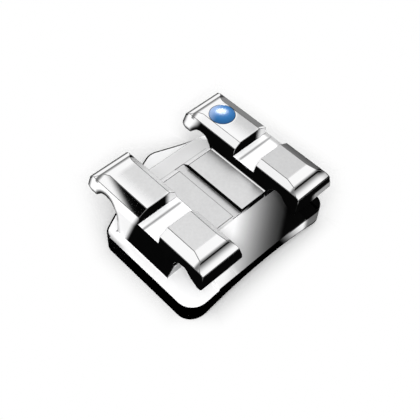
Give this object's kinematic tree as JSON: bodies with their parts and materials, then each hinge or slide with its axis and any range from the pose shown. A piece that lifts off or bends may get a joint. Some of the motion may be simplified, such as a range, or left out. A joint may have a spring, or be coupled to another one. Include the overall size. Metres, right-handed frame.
{
  "type": "orthodontic bracket",
  "caption": "Twin orthodontic bracket: tie-wings in two rows either side of an archwire slot, on a curved shield-shaped bonding base, with a round colour dot on one wing.",
  "frame": {"origin": "under the middle of the bracket, level with the lowest edges of the bonding base", "axes": "+X along the archwire slot, +Y across the slot towards the pointed side of the base, +Z away from the tooth"},
  "size_m": [0.0038, 0.0034, 0.0017],
  "materials": {
    "steel": "polished stainless steel, satin on the wing tops and the saddle",
    "enamel": "glossy blue enamel drop"
  },
  "bodies": {
    "root": {"bracket_body": "steel", "id_dot": "enamel"}
  },
  "joints": []
}
